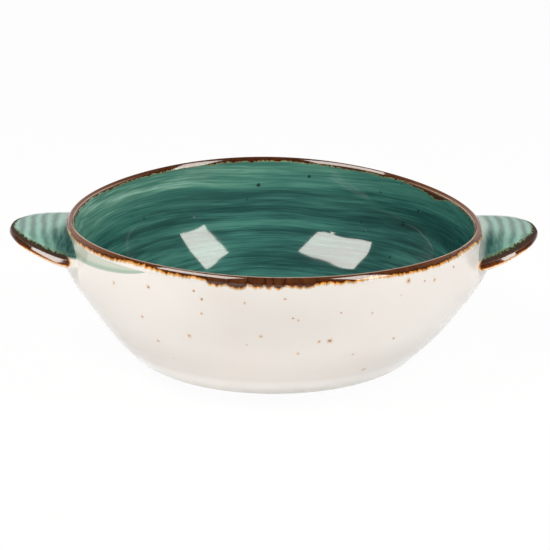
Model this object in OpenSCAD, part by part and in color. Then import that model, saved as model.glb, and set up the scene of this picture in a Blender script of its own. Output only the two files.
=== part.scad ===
// Lug soup bowl: a hand-finished stoneware bowl with a turned foot and two thumb lugs.
// The clay pieces are lofted from one wall profile, and the glaze coats lie face to face on the clay.
// The origin is on the table under the middle of the bowl, +Z is up, and X runs through both lugs.

/* [Bowl] */
// Width across the glazed rim
rim_d = 165; // [150:1:190]
// Mean height of the glazed rim above the table
rim_h = 57.8; // [50:0.1:70]
// Width of the flat underside, where the wall begins
base_d = 113; // [100:1:122]
// Width of the flat floor inside, where the wall begins
well_d = 104; // [90:1:108]
// Clay thickness at the lip
lip_t = 3; // [2.4:0.1:4.2]
// Clay thickness of the floor
floor_t = 5; // [3.5:0.1:7]
// Run of the rounded corner between the floor and the wall inside
well_run = 9; // [4:0.5:14]
// Run of the rounded corner between the underside and the wall outside
base_run = 3; // [1:0.5:5]

/* [Handmade unevenness] */
// How far the rim sinks at the right lug and rises at the left lug
rim_tilt = 1.7; // [0:0.1:3]
// How far the rim dips at both lugs and rises between them
rim_dip = 1.2; // [0:0.05:2.5]
// How far the rim is drawn out towards the lugs
rim_oval = 0.5; // [0:0.1:2]
// How far the rim is drawn out towards four soft corners
rim_square = 0.8; // [0:0.1:1.5]
// How far the belly leans towards the right lug
belly_lean = 1.2; // [0:0.1:3]

/* [Foot ring] */
// Height of the foot ring
foot_h = 2.5; // [1.5:0.1:4]
// How far the foot ring stands in from the edge of the underside
foot_inset = 6.5; // [3:0.5:14]
// Width of the foot ring's clay
foot_w = 6; // [4:0.5:10]

/* [Lugs] */
// How far a glazed lug tip stands out past the rim
lug_reach = 23.7; // [18:0.1:34]
// Width of a lug where it meets the wall
lug_w = 55; // [36:1:64]
// Clay thickness of a lug
lug_t = 3.3; // [2.6:0.1:4.5]
// How far a lug's sides arch down from its middle
lug_arch = 10.6; // [4:0.1:14]
// How far a lug's tip droops
lug_droop = 3.4; // [0:0.1:6]
// Depth of the left lug's top under the rim
left_lug_down = 1.6; // [1:0.1:6]
// Depth of the right lug's top under the rim
right_lug_down = 0.8; // [0.8:0.1:6]
// Run of the gusset that carries a lug from below
gusset_run = 15; // [8:0.5:18]
// How far the wall swells out under a lug
lug_flare = 4.4; // [0:0.1:8]

/* [Glaze] */
// Thickness of the coloured glaze coats
glaze_t = 0.35; // [0.25:0.05:0.6]
// Depth of the brown rim coat down the outside, below the lip's round
band_skirt = 1; // [0.5:0.1:4]
// Depth of the brown rim coat down the inside, below the lip's round
band_lining = 1; // [0.5:0.1:4]
// Width of the brown edge coat on a lug's top
lug_band_w = 2.6; // [2.2:0.1:5]

/* [Hidden] */

// Facets: columns round the bowl, rows up its walls and round its lip, columns round a lug
bowl_sides = 60;
wall_rows = 8;
corner_rows = 3;
lip_rows = 6;
lug_sides = 40;
edge_rows = 6;

// Curves of the wall and of a lug, as powers
wall_power = 2.3;
arch_power = 3.2;
droop_power = 4.4;
gusset_power = 3;
outline_power = 1.83;
edge_power = 3;
flare_power = 6;

// Shares of the sizes that they follow
corner_rise_share = 0.6;
gusset_slope_share = 1.1;
gusset_round_share = 0.6;
under_ring_shares = [0.35, 0.65, 0.85];
lug_ring_shares = [0.7, 0.35];
root_inset_share = 0.5;
flare_top_share = 0.92;
flare_peak_share = 0.75;
foot_taper_share = 0.2;

// Half of the angle of wall that is cut out of a lug's root, in columns
patch_columns = 7;
// Half of the angle of wall that swells under a lug
flare_angle = 38;

// The wall's clay profile
rim_r = rim_d / 2 - glaze_t;
base_r = base_d / 2;
well_r = well_d / 2;
lip_r = lip_t / 2;
lip_z = rim_h - glaze_t - lip_r;
floor_z = foot_h + floor_t;
outer_rise = lip_z - foot_h;
inner_rise = lip_z - floor_z;

// Swelling of the outer wall under a lug, highest at one share of its height and none above another
function flare_at(share) =
    let (t = min(1, share / flare_top_share), rest = 1 - flare_peak_share)
    lug_flare * pow(t / flare_peak_share, flare_power)
    * pow((1 - t) / rest, flare_power * rest / flare_peak_share);

// Point of the outer or inner wall at a share of its height: radius, height and swelling under a lug
function swell(share) = 1 - pow(1 - share, wall_power);
function outer_at(share) =
    [base_r + (rim_r - base_r) * swell(share), foot_h + outer_rise * share, flare_at(share)];
function inner_at(share) =
    [well_r + (rim_r - lip_t - well_r) * swell(share), floor_z + inner_rise * share, 0];
function lip_at(angle) = [rim_r - lip_r + lip_r * cos(angle), lip_z + lip_r * sin(angle), 0];
function bend(p, q, r, t) = (1 - t) * (1 - t) * p + 2 * t * (1 - t) * q + t * t * r;

// Shares of the wall at which its corners end and the rim coat begins
base_end = corner_rise_share * base_run / outer_rise;
well_end = corner_rise_share * well_run / inner_rise;
skirt_end = 1 - band_skirt / outer_rise;
lining_end = 1 - band_lining / inner_rise;

outer_rows = concat(
    [for (i = [0 : corner_rows - 1])
        bend([base_r - base_run, foot_h, 0], [base_r, foot_h, 0], outer_at(base_end), i / corner_rows)],
    [for (i = [0 : wall_rows]) outer_at(base_end + (skirt_end - base_end) * i / wall_rows)]
);
lip_profile = concat(
    [for (i = [0 : lip_rows]) lip_at(180 * i / lip_rows)],
    [inner_at(lining_end)]
);
inner_rows = concat(
    [for (i = [1 : wall_rows]) inner_at(lining_end + (well_end - lining_end) * i / wall_rows)],
    [for (i = [1 : corner_rows])
        bend(inner_at(well_end), [well_r, floor_z, 0], [well_r - well_run, floor_z, 0], i / corner_rows)]
);
profile = concat(outer_rows, lip_profile, inner_rows);
last = len(profile) - 1;
skirt_row = len(outer_rows) - 1;
crest_row = skirt_row + 1 + lip_rows / 2;
lining_row = skirt_row + len(lip_profile);

// The same profile with a coat of glaze on it
function unit(v) = v / norm(v);
function free_side(i) =
    let (run = profile[min(i + 1, last)] - profile[max(i - 1, 0)], t = unit([run[0], run[1]]))
    [t[1], -t[0], 0];
coat = [for (i = [0 : last - 1]) profile[i] + glaze_t * free_side(i)];
coat_floor = [well_r - well_run, floor_z + glaze_t, 0];
coat_rows = concat(coat, [coat_floor]);

// A profile point set at an angle round the bowl, with the handmade unevenness growing to the rim
function place(p, angle) =
    let (
        share = max(0, p[1] - floor_z) / (rim_h - floor_z),
        pull = share * share,
        from_lug = min(1, abs(angle - 180 * round(angle / 180)) / flare_angle),
        flare = p[2] * pow(cos(90 * from_lug), 2),
        r = p[0] + flare + pull * (rim_oval * cos(2 * angle) + rim_square * cos(4 * angle)),
        lean = 4 * belly_lean * share * (1 - share)
    )
    [
        r * cos(angle) + lean,
        r * sin(angle),
        p[1] - pull * (rim_tilt * cos(angle) + rim_dip * cos(2 * angle))
    ];
function bowl_ring(p) = [for (j = [0 : bowl_sides - 1]) place(p, 360 * j / bowl_sides)];
function bowl_rings(rows, from, to) = [for (i = [from : to]) bowl_ring(rows[i])];
function backwards(list) = [for (i = [len(list) - 1 : -1 : 0]) list[i]];
function flat(lists) = [for (list = lists) each list];

// Two triangles for each step between two rings of n points that start at a and at b. On the side of a
// coat that lies on the clay the step is turned, so that both have the same triangles.
function strip(a, b, n, turned) = [
    for (j = [0 : n - 1])
        let (k = (j + 1) % n)
        each turned
            ? [[a + j, b + j, a + k], [a + k, b + j, b + k]]
            : [[a + j, b + k, a + k], [a + j, b + j, b + k]]
];

// Rings of points closed by a point at each end, the first of them on the clay if it is a coat
module capped_loft(rings, first_pole, last_pole, clay_rings = 0) {
    n = len(rings[0]);
    count = n * len(rings);
    polyhedron(
        concat(flat(rings), [first_pole, last_pole]),
        concat(
            [for (j = [0 : n - 1]) [count, j, (j + 1) % n]],
            flat([for (i = [0 : len(rings) - 2]) strip(n * i, n * (i + 1), n, i < clay_rings - 1)]),
            [for (j = [0 : n - 1]) [count + 1, count - n + (j + 1) % n, count - n + j]]
        )
    );
}

// Rings of points that close on themselves
module looped_loft(rings, clay_rings) {
    n = len(rings[0]);
    m = len(rings);
    polyhedron(
        flat(rings),
        flat([for (i = [0 : m - 1]) strip(n * i, n * ((i + 1) % m), n, i < clay_rings - 1)])
    );
}

// A lug is drawn to the right of the bowl. Its outline is an arched tongue, and a half ellipse
// carries it into the wall, where its root is cut off.
lug_half = lug_w / 2;
lug_half_t = lug_t / 2;
root_x = sqrt(rim_r * rim_r - lug_half * lug_half);
lug_len = rim_r + lug_reach - root_x;
root_inset = root_inset_share * lug_len;
mid_share = 1 - lug_half_t / lug_len;
edge_share = 1 - lug_band_w / lug_len;

function outline(angle) = [
    cos(angle) > 0 ? lug_len * pow(cos(angle), 2 / outline_power) : root_inset * cos(angle),
    lug_half * sin(angle)
];
outline_step = 180 / lug_sides;
function outward(angle) =
    let (t = unit(outline(angle + outline_step) - outline(angle - outline_step))) [t[1], -t[0]];

// Height of a lug's clay top below its highest point
function lug_fall(p) =
    lug_arch * pow(abs(p[1]) / lug_half, arch_power)
    + lug_droop * pow(max(0, p[0]) / lug_len, droop_power);

// Depth of the gusset under a lug: a slope from the wall that rounds off into the underside
gusset_round = gusset_round_share * gusset_run;
function gusset(p) =
    let (run = max(0, gusset_run + rim_r - norm([root_x + p[0], p[1]])))
    gusset_slope_share * (run < gusset_round ? run * run / (2 * gusset_round) : run - gusset_round / 2);

// A lug's rings: on its clay where skin is 0, and on its glaze where skin is the glaze's thickness
function lug_point(p, z) = [root_x + p[0], p[1], z];
function top_ring(share, skin) = [
    for (j = [0 : lug_sides - 1])
        let (p = share * outline(360 * j / lug_sides)) lug_point(p, skin - lug_fall(p))
];
function under_ring(share) = [
    for (j = [0 : lug_sides - 1])
        let (p = share * outline(360 * j / lug_sides))
        lug_point(p, -lug_fall(p) - lug_t - (1 - pow(share, gusset_power)) * gusset(p))
];
function edge_ring(roll, skin) = [
    for (j = [0 : lug_sides - 1])
        let (
            angle = 360 * j / lug_sides,
            mid = mid_share * outline(angle),
            r = lug_half_t + skin,
            out = r * pow(cos(roll), 2 / edge_power),
            up = r * sign(roll) * pow(abs(sin(roll)), 2 / edge_power)
        )
        lug_point(mid + out * outward(angle), up - lug_fall(mid) - lug_half_t)
];

// Rings from a lug's underside, round its edge, to its top
function edge_rings(skin) = concat(
    [for (i = [0 : edge_rows]) edge_ring(180 * i / edge_rows - 90, skin)],
    [top_ring(edge_share, skin)]
);
crown_shares = concat([edge_share], lug_ring_shares);
function crown_rings(skin) = [for (share = crown_shares) top_ring(share, skin)];

module lug_clay() {
    capped_loft(
        concat(
            [for (share = under_ring_shares) under_ring(share)],
            edge_rings(0),
            [for (share = lug_ring_shares) top_ring(share, 0)]
        ),
        lug_point([0, 0], -lug_t - gusset([0, 0])),
        lug_point([0, 0], 0)
    );
}
module lug_crown_coat() {
    capped_loft(
        concat(backwards(crown_rings(0)), crown_rings(glaze_t)),
        lug_point([0, 0], 0),
        lug_point([0, 0], glaze_t),
        len(crown_shares)
    );
}
module lug_edge_coat() {
    clay = backwards(edge_rings(0));
    looped_loft(concat(clay, edge_rings(glaze_t)), len(clay));
}

// The bowl's outside at one lug, as a wedge from the axis out to the wall and the rim coat
patch_rows = concat(outer_rows, [for (i = [skirt_row : crest_row]) coat_rows[i]]);
module wall_patch(turn) {
    rows = len(patch_rows);
    columns = 2 * patch_columns + 1;
    foot_pole = rows * columns;
    rim_pole = foot_pole + 1;
    points = [
        for (j = [-patch_columns : patch_columns])
            for (p = patch_rows) place(p, turn + 360 * j / bowl_sides)
    ];
    polyhedron(
        concat(points, [[0, 0, foot_h], [0, 0, rim_h + rim_tilt + rim_dip]]),
        concat(
            [for (j = [0 : columns - 2]) for (i = [0 : rows - 2])
                let (a = rows * j + i, b = a + rows)
                each [[a, a + 1, b + 1], [a, b + 1, b]]],
            [for (j = [0 : columns - 2])
                let (a = rows * j, b = a + rows)
                each [[foot_pole, a, b], [rim_pole, b + rows - 1, b - 1]]],
            [for (i = [0 : rows - 2]) [foot_pole, i + 1, i]],
            [for (i = [foot_pole - rows : foot_pole - 2]) [foot_pole, i, i + 1]],
            [[foot_pole, rim_pole, rows - 1], [foot_pole, foot_pole - 1, rim_pole]]
        )
    );
}

// Sets a lug's piece at the right (turn 0) or the left (turn 180), flush on the wall
module set_lug(turn, down) {
    rise = place([rim_r, rim_h, 0], turn)[2] - down - glaze_t;
    difference() {
        translate([0, 0, rise]) rotate([0, 0, turn]) children();
        wall_patch(turn);
    }
}

module bowl_body() {
    color("white") capped_loft(bowl_rings(profile, 0, last), [0, 0, foot_h], [0, 0, floor_z]);
}
module foot_ring() {
    outer_r = base_r - foot_inset;
    inner_r = outer_r - foot_w;
    taper = foot_taper_share * foot_w;
    color("ivory") rotate_extrude($fn = bowl_sides)
        polygon([[inner_r, foot_h], [inner_r + taper, 0], [outer_r - taper, 0], [outer_r, foot_h]]);
}
module left_lug() color("white") set_lug(180, left_lug_down) lug_clay();
module right_lug() color("white") set_lug(0, right_lug_down) lug_clay();
module inner_glaze() {
    clay = backwards(bowl_rings(profile, lining_row, last));
    color("teal") capped_loft(
        concat(clay, bowl_rings(coat_rows, lining_row, last)),
        [0, 0, floor_z],
        [0, 0, floor_z + glaze_t],
        len(clay)
    );
}
module rim_glaze() {
    clay = backwards(bowl_rings(profile, skirt_row, lining_row));
    color("saddlebrown") looped_loft(
        concat(clay, bowl_rings(coat_rows, skirt_row, lining_row)),
        len(clay)
    );
}
module left_lug_glaze() color("mediumaquamarine") set_lug(180, left_lug_down) lug_crown_coat();
module right_lug_glaze() color("mediumaquamarine") set_lug(0, right_lug_down) lug_crown_coat();
module left_lug_edge() color("saddlebrown") set_lug(180, left_lug_down) lug_edge_coat();
module right_lug_edge() color("saddlebrown") set_lug(0, right_lug_down) lug_edge_coat();

bowl_body();
foot_ring();
left_lug();
right_lug();
inner_glaze();
rim_glaze();
left_lug_glaze();
right_lug_glaze();
left_lug_edge();
right_lug_edge();
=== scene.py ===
import math
import bpy
import numpy as np
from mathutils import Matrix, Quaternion, Vector


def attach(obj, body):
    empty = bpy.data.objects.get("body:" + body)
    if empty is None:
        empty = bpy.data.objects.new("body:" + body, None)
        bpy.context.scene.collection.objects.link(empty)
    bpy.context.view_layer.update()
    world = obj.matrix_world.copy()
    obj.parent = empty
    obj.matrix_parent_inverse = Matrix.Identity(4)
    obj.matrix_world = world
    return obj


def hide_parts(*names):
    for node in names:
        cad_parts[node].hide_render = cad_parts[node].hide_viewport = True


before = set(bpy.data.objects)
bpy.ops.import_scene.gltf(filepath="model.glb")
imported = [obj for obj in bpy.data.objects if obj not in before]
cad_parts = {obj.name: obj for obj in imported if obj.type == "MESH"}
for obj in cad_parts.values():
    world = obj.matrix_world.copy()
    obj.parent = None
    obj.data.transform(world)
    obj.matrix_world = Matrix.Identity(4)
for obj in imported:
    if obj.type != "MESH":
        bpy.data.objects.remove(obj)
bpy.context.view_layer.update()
print("frame loaded with", len(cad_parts), "solids")

mm = 0.001  # the sizes below are millimetres, the scene is metres


# Colours, nodes and meshes

def linear(hexColour):
    channels = [int(hexColour[i:i + 2], 16) / 255 for i in (1, 3, 5)]
    return [c / 12.92 if c <= 0.04045 else ((c + 0.055) / 1.055) ** 2.4 for c in channels] + [1]


def addNode(tree, kind, inputs=None, stops=None, **settings):
    node = tree.nodes.new(kind)
    for name, value in settings.items():
        setattr(node, name, value)
    for name, value in (inputs or {}).items():
        if isinstance(value, bpy.types.NodeSocket):
            tree.links.new(value, node.inputs[name])
        else:
            node.inputs[name].default_value = value
    for i, (place, colour, alpha) in enumerate(stops or []):
        elements = node.color_ramp.elements
        stop = elements[i] if i < len(elements) else elements.new(place)
        stop.position = place
        stop.color = (linear(colour)[:3] if isinstance(colour, str) else [colour] * 3) + [alpha]
    return node


def field(tree, name, output="Fac"):  # what a mesh knows of its points, from the field functions below
    return addNode(tree, "ShaderNodeAttribute", attribute_name=name).outputs[output]


def startMaterial(name, roughness, ior=1.5):
    material = bpy.data.materials.new(name)
    material.use_nodes = True
    tree = material.node_tree
    tree.nodes.clear()
    shader = addNode(tree, "ShaderNodeBsdfPrincipled", {"Roughness": roughness, "IOR": ior})
    addNode(tree, "ShaderNodeOutputMaterial", {"Surface": shader.outputs[0]})
    return material, tree, shader


def loftMesh(name, rows, firstPole=None, lastPole=None, looped=False):
    rows = np.asarray(rows)
    count, columns = rows.shape[:2]
    points = rows.reshape(-1, 3).tolist()
    nextColumn = [(j + 1) % columns for j in range(columns)]
    faces = []
    for i in range(count if looped else count - 1):
        a, b = i * columns, (i + 1) % count * columns
        faces += [(a + j, a + k, b + k, b + j) for j, k in enumerate(nextColumn)]
    if firstPole is not None:
        faces += [(len(points), k, j) for j, k in enumerate(nextColumn)]
        points.append(firstPole)
    if lastPole is not None:
        a = (count - 1) * columns
        faces += [(len(points), a + j, a + k) for j, k in enumerate(nextColumn)]
        points.append(lastPole)
    mesh = bpy.data.meshes.new(name)
    mesh.from_pydata((np.array(points) * mm).tolist(), [], faces)
    piece = bpy.data.objects.new(name, mesh)
    bpy.context.scene.collection.objects.link(piece)
    return piece


def finishPiece(piece, node, material, fields, sharpAngle=50):
    mesh = piece.data
    mesh.shade_smooth()
    mesh.set_sharp_from_angle(angle=math.radians(sharpAngle))
    points = np.empty(len(mesh.vertices) * 3)
    mesh.vertices.foreach_get("co", points)
    for name, values in fields(points.reshape(-1, 3) / mm).items():
        kind, key = ("FLOAT", "value") if values.ndim == 1 else ("FLOAT_VECTOR", "vector")
        mesh.attributes.new(name, kind, "POINT").data.foreach_set(key, values.ravel())
    mesh.materials.clear()
    mesh.materials.append(material)
    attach(piece, "root")
    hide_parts(node)
    print("made", piece.name, "with", len(mesh.polygons), "faces")


# The thrown wall: one profile from the underside, over the lip, to the floor inside

wall = {
    "rimWidth": 165, "rimHeight": 57.8, "baseWidth": 113, "wellWidth": 104,
    "lipThick": 3, "floorThick": 5, "footHeight": 2.5,
    "wellRun": 9, "baseRun": 3, "cornerRise": 0.6, "swell": 2.3,
    "rimTilt": 1.7, "rimDip": 1.2, "rimOval": 0.5, "rimSquare": 0.8, "bellyLean": 1.2,
    "flare": 4.4, "flareTop": 0.92, "flarePeak": 0.75, "flarePower": 6, "flareAngle": 38,
    "glaze": 0.35, "skirt": 1.4, "lining": 1,
    "shoulderRun": 1.9, "shoulderDrop": 1, "shoulderPower": 1.4, "brinkPower": 1.15,  # the lip
    "columns": 300, "wallRows": 46, "lipRows": 24, "cornerRows": 8, "floorRows": 12,
}
rimR = wall["rimWidth"] / 2 - wall["glaze"]
baseR = wall["baseWidth"] / 2
wellR = wall["wellWidth"] / 2
lipR = wall["lipThick"] / 2
lipZ = wall["rimHeight"] - wall["glaze"] - lipR
footZ = wall["footHeight"]
floorZ = footZ + wall["floorThick"]
outerRise = lipZ - footZ
innerRise = lipZ - floorZ


def swell(share):
    return 1 - (1 - share) ** wall["swell"]


def flareAt(share):  # swelling of the outer wall under a lug
    t = np.minimum(1, share / wall["flareTop"])
    rest = 1 - wall["flarePeak"]
    fade = ((1 - t) / rest) ** (wall["flarePower"] * rest / wall["flarePeak"])
    return wall["flare"] * (t / wall["flarePeak"]) ** wall["flarePower"] * fade


def outerWall(share):
    return np.column_stack([baseR + (rimR - baseR) * swell(share), footZ + outerRise * share,
                            flareAt(share)])


def innerWall(share):
    spread = rimR - wall["lipThick"] - wellR
    return np.column_stack([wellR + spread * swell(share), floorZ + innerRise * share, 0 * share])


def lipRound(turn):
    outside = np.cos(turn) > 0
    power = 2 / np.where(outside, wall["shoulderPower"], wall["brinkPower"])
    run = np.where(outside, wall["shoulderRun"], wall["shoulderRun"] - wall["lipThick"])
    drop = np.where(outside, wall["shoulderDrop"], 0)
    r = rimR - wall["shoulderRun"] + run * np.abs(np.cos(turn)) ** power
    return np.column_stack([r, lipZ - drop + (lipR + drop) * np.sin(turn) ** power, 0 * turn])


def bend(start, corner, end, steps):
    t = np.linspace(0, 1, steps + 1)[:, None]
    return (1 - t) ** 2 * np.array(start) + 2 * t * (1 - t) * np.array(corner) + t ** 2 * np.array(end)


def place(profile, turn):  # sets radius, height and flare round the bowl, uneven towards the rim
    r, z, flare = profile[:, :1], profile[:, 1:2], profile[:, 2:]
    share = np.maximum(0, z - floorZ) / (wall["rimHeight"] - floorZ)
    pull = share ** 2
    fromLug = np.abs(turn - math.pi * np.round(turn / math.pi)) / math.radians(wall["flareAngle"])
    r = r + flare * np.cos(math.pi / 2 * np.minimum(1, fromLug)) ** 2
    r = r + pull * (wall["rimOval"] * np.cos(2 * turn) + wall["rimSquare"] * np.cos(4 * turn))
    lean = 4 * wall["bellyLean"] * share * (1 - share)
    sink = pull * (wall["rimTilt"] * np.cos(turn) + wall["rimDip"] * np.cos(2 * turn))
    return np.stack([r * np.cos(turn) + lean, r * np.sin(turn), z - sink], axis=-1)


def level(radii, z):
    return np.column_stack([radii, np.full_like(radii, z), 0 * radii])


baseEnd = wall["cornerRise"] * wall["baseRun"] / outerRise
wellEnd = wall["cornerRise"] * wall["wellRun"] / innerRise
skirtEnd = 1 - wall["skirt"] / outerRise
liningEnd = 1 - wall["lining"] / innerRise
baseCorner = bend([baseR - wall["baseRun"], footZ, 0], [baseR, footZ, 0],
                  outerWall(np.array([baseEnd]))[0], wall["cornerRows"])
wellCorner = bend(innerWall(np.array([wellEnd]))[0], [wellR, floorZ, 0],
                  [wellR - wall["wellRun"], floorZ, 0], wall["cornerRows"])
floorRun = np.linspace(wellR - wall["wellRun"], 0, wall["floorRows"])[1:-1]
underRun = np.linspace(0, baseR - wall["baseRun"], wall["floorRows"])[1:-1]
outerRows = outerWall(np.linspace(baseEnd, skirtEnd, wall["wallRows"]))
shoulderEnd = 1 - wall["shoulderDrop"] / outerRise
lipRows = np.vstack([outerWall(np.linspace(skirtEnd, shoulderEnd, 3)),
                     lipRound(np.linspace(0, math.pi, wall["lipRows"] + 1)[:-1])[1:],
                     innerWall(np.linspace(1, liningEnd, 5))])
innerRows = np.vstack([innerWall(np.linspace(liningEnd, wellEnd, wall["wallRows"])), wellCorner[1:],
                       level(floorRun, floorZ)])
underRows = np.vstack([level(underRun, footZ), baseCorner[:-1]])
turns = np.arange(wall["columns"]) * 2 * math.pi / wall["columns"]


def coated(rows, thickness):  # a profile moved out to the free side of its clay
    along = np.gradient(rows[:, :2], axis=0)
    along /= np.linalg.norm(along, axis=1, keepdims=True)
    moved = rows.copy()
    moved[:, :2] += np.column_stack([along[:, 1], -along[:, 0]]) * thickness
    return moved


def rise(values, start, run):  # goes from 0 to 1 over the run
    return np.clip((values - start) / run, 0, 1)


def ridge(values, middle, width):  # 1 in the middle, fading to both sides
    return np.exp(-((values - middle) / width) ** 2)


spill = {"depth": 10.8, "span": 55}  # pale overspill beside the left lug, millimetres and degrees
runs = {  # heavy run of rim glaze at the front: where its drops meet across the bowl, how far they hang
    "meet": [-27, -19, -11.8, -5.5, -2.5, 2, 13], "hang": [2.1, 2.9, 2.2, 2.3, 2.5, 1.5],
    "seam": 0.6, "most": 3, "fadeIn": 10,
}
blot = {"depth": 2.2, "turn": 30.5, "span": 5}  # thick place of the rim glaze inside, at the back right
sag = {  # the rim glaze hangs less or more along the front, degrees and millimetres
    "turns": [-170, -149, -141, -134, -128, -122, -111, -95, -74, -65, -52, -39, -27, -12],
    "shifts": [0, 0.4, 0.3, -0.7, -0.7, 0, 0.3, 0, 0.4, -0.2, 0.3, 0, -1, 0],
}
brush = {  # the teal turns lighter and darker up the wall, more so on the left
    "heights": [10, 17, 24, 29, 32, 36, 40, 45, 50, 55],
    "shifts": [0.11, 0.05, 0.23, 0.11, 0.24, 0.03, 0.16, 0.24, 0.45, 0.52],
    "leftShifts": [0, 0, -0.03, -0.08, -0.08, -0.06, 0, 0.05, 0.05, 0],
    "leftRun": 55, "across": 0.17, "slant": 0.6,  # paler to the left, strokes slanting with the wall
}
lipLines = {  # pale lines along the lip, millimetres in from the outside of the lip
    "inner": wall["lipThick"] - 0.1, "innerWide": 0.1, "innerFacing": (-0.75, 0.3),  # all but the back
    "front": wall["shoulderRun"] - 0.12, "frontWide": 0.16, "frontFacing": (0.1, 0.2),
    "pale": "#d3c0b0",
}


def wallFields(points):  # what the wall's glazes need to know of each point
    x, y, z = points.T
    turn = np.arctan2(y, x)
    degrees = np.degrees(turn)
    facing = -np.sin(turn)  # 1 at the front, -1 at the back
    r = np.hypot(x, y)
    rimmed = r - wall["rimOval"] * np.cos(2 * turn) - wall["rimSquare"] * np.cos(4 * turn)
    inwards = rimR - rimmed
    crest = wall["rimHeight"] - wall["rimTilt"] * np.cos(turn) - wall["rimDip"] * np.cos(2 * turn)
    depth = crest - z
    fromLeft = np.degrees(np.arctan2(-y, -x))
    spillEdge = spill["depth"] * np.sqrt(np.clip(1 - (fromLeft / spill["span"]) ** 2, 1e-4, 1))
    tone = np.interp(z, brush["heights"], brush["shifts"]) - brush["across"] * x / rimR
    leftTone = np.interp(z, brush["heights"], brush["leftShifts"]) * rise(-x, 0, brush["leftRun"])
    stretch = np.sqrt(rimR / np.maximum(r, 1))
    return {
        "rimDepth": depth,
        "tone": tone + leftTone,
        "inside": rise(inwards, lipR - 0.2, 0.4),
        "brink": sum(ridge(inwards, lipLines[line], lipLines[line + "Wide"])
                     * rise(facing, *lipLines[line + "Facing"]) for line in ("inner", "front")),
        "spill": np.where(fromLeft > 0, depth / spillEdge, 9),  # only in front of the lug
        "faced": rise(-y, 0, runs["fadeIn"]),
        "blot": blot["depth"] * ridge(degrees, blot["turn"], blot["span"])
                + np.interp(degrees, sag["turns"], sag["shifts"]),
        # painted sheen: paler rim glaze near the crest on the left and right sides
        "paintedSideSheen": np.cos(turn) ** 4 * rise(-depth, -2, 0.5),
        "strokes": np.column_stack([x * stretch, y * stretch, z - brush["slant"] * (rimR - r)]),
    }


# Glazes on the wall

band = {
    "depth": 1.5, "reach": 1.5, "teeth": 0.55, "teethSize": 1.3, "teethFall": 0.12,
    "sweep": 0.4, "sweepSize": 11, "jitter": 1.6, "jitterSize": 1.5, "mottle": 0.75, "mottleSize": 2.2,
    # pale: colour of a painted sheen on the rim glaze's left and right sides
    "shade": "#9a9a9a", "seam": "#2c0f03", "pale": "#7d5138", "gloss": 0.06, "ior": 1.57,
}


def runStops():
    left, right = runs["meet"][0] - 1, runs["meet"][-1] + 1
    stops = [(0, 0, 0)]
    for start, end, hang in zip(runs["meet"], runs["meet"][1:], runs["hang"]):
        for x, share, dark in ((start, 0.3, 1), (start + runs["seam"], 0.65, 0),
                               ((start + end) / 2, 1, 0), (end - runs["seam"], 0.65, 0)):
            stops.append(((x - left) / (right - left), share * hang / runs["most"], dark))
    return left, right, stops + [(1, 0, 0)]


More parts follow.
